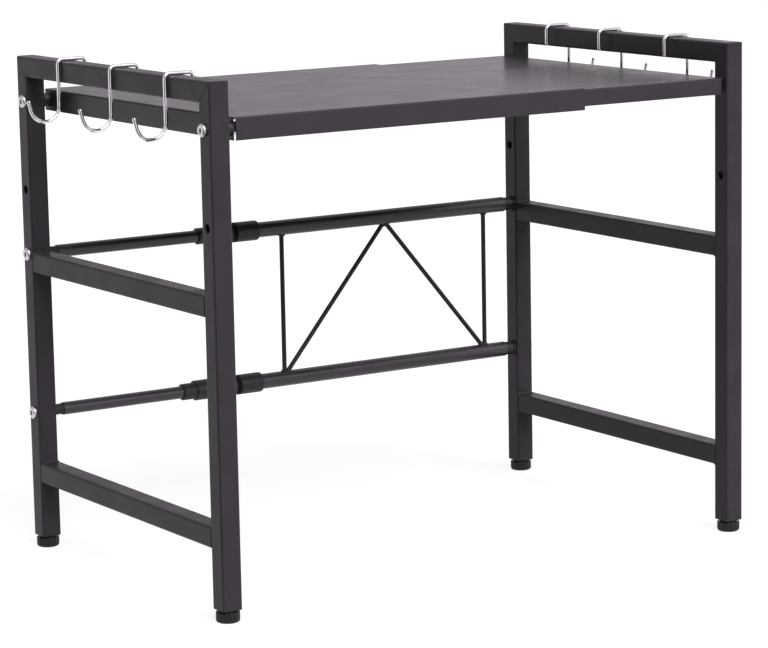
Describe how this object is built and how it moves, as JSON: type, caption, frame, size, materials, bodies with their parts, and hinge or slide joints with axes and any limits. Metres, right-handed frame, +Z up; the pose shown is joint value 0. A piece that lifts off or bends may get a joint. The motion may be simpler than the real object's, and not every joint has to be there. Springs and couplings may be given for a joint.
{
  "type": "microwave shelf",
  "caption": "Free-standing steel shelf of adjustable width: two square-tube side frames, nested sheet deck, telescoping rear rods, wire hooks and screw feet.",
  "frame": {"origin": "on the floor, under the middle of the shelf at the width pictured", "axes": "+X to the right along the width, +Y from front to back, +Z up"},
  "size_m": [0.6378, 0.3624, 0.4688],
  "materials": {
    "frame_coating": "satin powder coat",
    "deck_coating": "satin powder coat on sheet",
    "hook_chrome": "bright plated wire",
    "zinc_plate": "zinc plated",
    "black_plastic": "moulded",
    "foot_plastic": "moulded, slightly glossy"
  },
  "bodies": {
    "left_half": {"left_front_post": "frame_coating", "left_rear_post": "frame_coating", "left_top_rail": "frame_coating", "left_middle_rail": "frame_coating", "left_lower_rail": "frame_coating", "left_foot_inserts": "black_plastic", "left_deck_panel": "deck_coating", "left_deck_standoffs": "black_plastic", "left_deck_nuts": "zinc_plate", "left_deck_screws": "zinc_plate", "upper_thin_rod": "frame_coating", "lower_thin_rod": "frame_coating", "thin_rod_plugs": "black_plastic", "left_rod_screws": "zinc_plate"},
    "right_half": {"right_front_post": "frame_coating", "right_rear_post": "frame_coating", "right_top_rail": "frame_coating", "right_middle_rail": "frame_coating", "right_lower_rail": "frame_coating", "right_foot_inserts": "black_plastic", "right_deck_panel": "deck_coating", "right_deck_nuts": "zinc_plate", "right_deck_screws": "zinc_plate", "upper_thick_rod": "frame_coating", "lower_thick_rod": "frame_coating", "thick_rod_plugs": "black_plastic", "right_rod_screws": "zinc_plate", "upper_rod_sleeve": "black_plastic", "lower_rod_sleeve": "black_plastic", "truss_left_upright": "frame_coating", "truss_right_upright": "frame_coating", "truss_left_brace": "frame_coating", "truss_right_brace": "frame_coating"},
    "left_front_hook": {"left_front_hook": "hook_chrome"},
    "left_middle_hook": {"left_middle_hook": "hook_chrome"},
    "left_rear_hook": {"left_rear_hook": "hook_chrome"},
    "right_front_hook": {"right_front_hook": "hook_chrome"},
    "right_middle_hook": {"right_middle_hook": "hook_chrome"},
    "right_rear_hook": {"right_rear_hook": "hook_chrome"},
    "front_left_foot_stud": {"front_left_foot_stud": "zinc_plate"},
    "front_left_foot_pad": {"front_left_foot_pad": "foot_plastic"},
    "front_right_foot_stud": {"front_right_foot_stud": "zinc_plate"},
    "front_right_foot_pad": {"front_right_foot_pad": "foot_plastic"},
    "rear_left_foot_stud": {"rear_left_foot_stud": "zinc_plate"},
    "rear_left_foot_pad": {"rear_left_foot_pad": "foot_plastic"},
    "rear_right_foot_stud": {"rear_right_foot_stud": "zinc_plate"},
    "rear_right_foot_pad": {"rear_right_foot_pad": "foot_plastic"}
  },
  "joints": [
    {"name": "width_slide", "type": "slide", "parent": "left_half", "child": "right_half", "axis": [1, 0, 0], "range_m": [-0.135, 0.081]},
    {"name": "left_front_hook_slide", "type": "slide", "parent": "left_half", "child": "left_front_hook", "axis": [0, 1, 0], "range_m": [-0.047, 0.046]},
    {"name": "left_middle_hook_slide", "type": "slide", "parent": "left_half", "child": "left_middle_hook", "axis": [0, 1, 0], "range_m": [-0.049, 0.049]},
    {"name": "left_rear_hook_slide", "type": "slide", "parent": "left_half", "child": "left_rear_hook", "axis": [0, 1, 0], "range_m": [-0.047, 0.064]},
    {"name": "right_front_hook_slide", "type": "slide", "parent": "right_half", "child": "right_front_hook", "axis": [0, 1, 0], "range_m": [-0.06, 0.047]},
    {"name": "right_middle_hook_slide", "type": "slide", "parent": "right_half", "child": "right_middle_hook", "axis": [0, 1, 0], "range_m": [-0.052, 0.04]},
    {"name": "right_rear_hook_slide", "type": "slide", "parent": "right_half", "child": "right_rear_hook", "axis": [0, 1, 0], "range_m": [-0.043, 0.06]},
    {"name": "front_left_foot_travel", "type": "slide", "parent": "left_half", "child": "front_left_foot_stud", "axis": [0, 0, -1], "range_m": [-0.0016, 0.0081]},
    {"name": "front_left_foot_turn", "type": "hinge", "parent": "front_left_foot_stud", "child": "front_left_foot_pad", "pos_m": [-0.275, -0.1705, 0], "axis": [0, 0, -1], "range_deg": [-432, 2304]},
    {"name": "front_right_foot_travel", "type": "slide", "parent": "right_half", "child": "front_right_foot_stud", "axis": [0, 0, -1], "range_m": [-0.0016, 0.0081]},
    {"name": "front_right_foot_turn", "type": "hinge", "parent": "front_right_foot_stud", "child": "front_right_foot_pad", "pos_m": [0.275, -0.1705, 0], "axis": [0, 0, -1], "range_deg": [-432, 2304]},
    {"name": "rear_left_foot_travel", "type": "slide", "parent": "left_half", "child": "rear_left_foot_stud", "axis": [0, 0, -1], "range_m": [-0.0016, 0.0081]},
    {"name": "rear_left_foot_turn", "type": "hinge", "parent": "rear_left_foot_stud", "child": "rear_left_foot_pad", "pos_m": [-0.275, 0.1705, 0], "axis": [0, 0, -1], "range_deg": [-432, 2304]},
    {"name": "rear_right_foot_travel", "type": "slide", "parent": "right_half", "child": "rear_right_foot_stud", "axis": [0, 0, -1], "range_m": [-0.0016, 0.0081]},
    {"name": "rear_right_foot_turn", "type": "hinge", "parent": "rear_right_foot_stud", "child": "rear_right_foot_pad", "pos_m": [0.275, 0.1705, 0], "axis": [0, 0, -1], "range_deg": [-432, 2304]}
  ],
  "couplings": [
    {"joint": "front_left_foot_travel", "follows": "front_left_foot_turn", "m_per_rad": 0.00019894},
    {"joint": "front_right_foot_travel", "follows": "front_right_foot_turn", "m_per_rad": 0.00019894},
    {"joint": "rear_left_foot_travel", "follows": "rear_left_foot_turn", "m_per_rad": 0.00019894},
    {"joint": "rear_right_foot_travel", "follows": "rear_right_foot_turn", "m_per_rad": 0.00019894}
  ]
}
